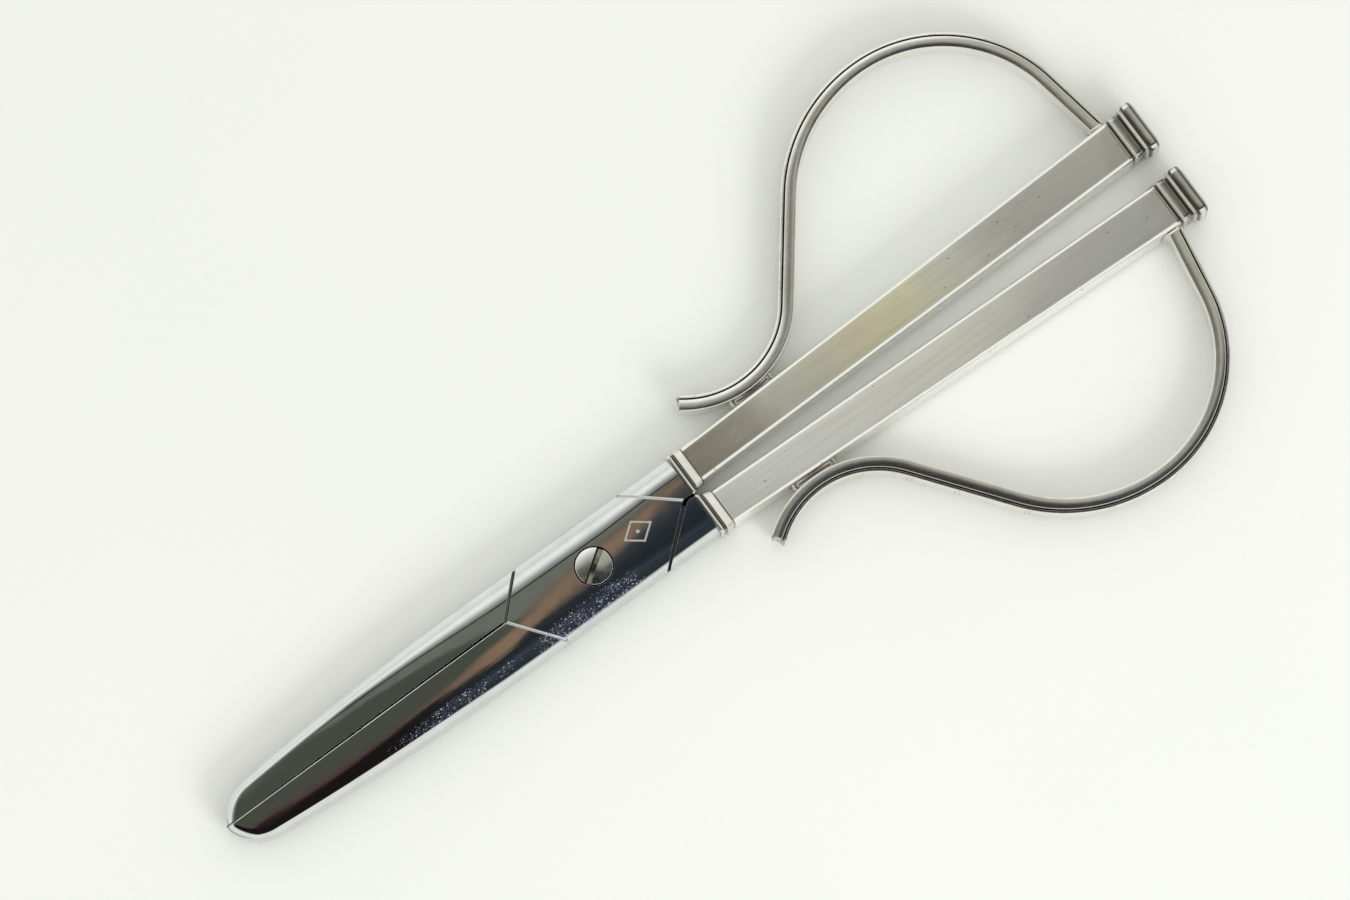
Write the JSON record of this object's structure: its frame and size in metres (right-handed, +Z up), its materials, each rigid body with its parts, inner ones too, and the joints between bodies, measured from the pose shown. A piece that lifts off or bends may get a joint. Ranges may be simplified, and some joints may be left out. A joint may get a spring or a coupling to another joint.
{
  "type": "scissors",
  "caption": "Straight household scissors: short blunt half-lapped steel blades on a slotted screw, slim hollow handles with S-curved finger bows.",
  "frame": {"origin": "on the pivot screw's axis, in the plane the closed scissors lie on", "axes": "+X from the pivot towards the handles, +Z up out of the face with the screw's head, +Y towards the front member's handle"},
  "size_m": [0.1701, 0.078, 0.0061],
  "materials": {
    "blade_steel": "mirror polished, fine scratches and fingermarks near the pivot",
    "screw_steel": "polished, scratched round the slot",
    "handle_silver": "satin, brushed along the handle, light brown tarnish, small dents",
    "bow_silver": "satin on the edges, polished on the sides",
    "bright_silver": "polished with dark tarnish in the grooves",
    "silver_solder": "bright, slightly lumpy",
    "setting_cement": "matt, brittle compound"
  },
  "bodies": {
    "rear_member": {"rear_blade": "blade_steel", "rear_handle_upper_shell": "handle_silver", "rear_handle_lower_shell": "handle_silver", "rear_handle_collar": "bright_silver", "rear_handle_end_cap": "bright_silver", "rear_tang_cement": "setting_cement", "rear_finger_bow": "bow_silver", "rear_bow_foot": "silver_solder", "rear_bow_fillets": "silver_solder"},
    "front_member": {"front_blade": "blade_steel", "front_handle_upper_shell": "handle_silver", "front_handle_lower_shell": "handle_silver", "front_handle_collar": "bright_silver", "front_handle_end_cap": "bright_silver", "front_tang_cement": "setting_cement", "front_finger_bow": "bow_silver", "front_bow_foot": "silver_solder", "front_bow_fillets": "silver_solder"},
    "screw": {"pivot_screw": "screw_steel"}
  },
  "joints": [
    {"name": "blades_open", "type": "hinge", "parent": "rear_member", "child": "front_member", "pos_m": [0, 0, 0.0029], "axis": [0, 0, 1], "range_deg": [0, 100]},
    {"name": "tension_screw_turn", "type": "hinge", "parent": "rear_member", "child": "screw", "pos_m": [0, 0, 0.0029], "axis": [0, 0, 1], "range_deg": [-30, 30]}
  ]
}
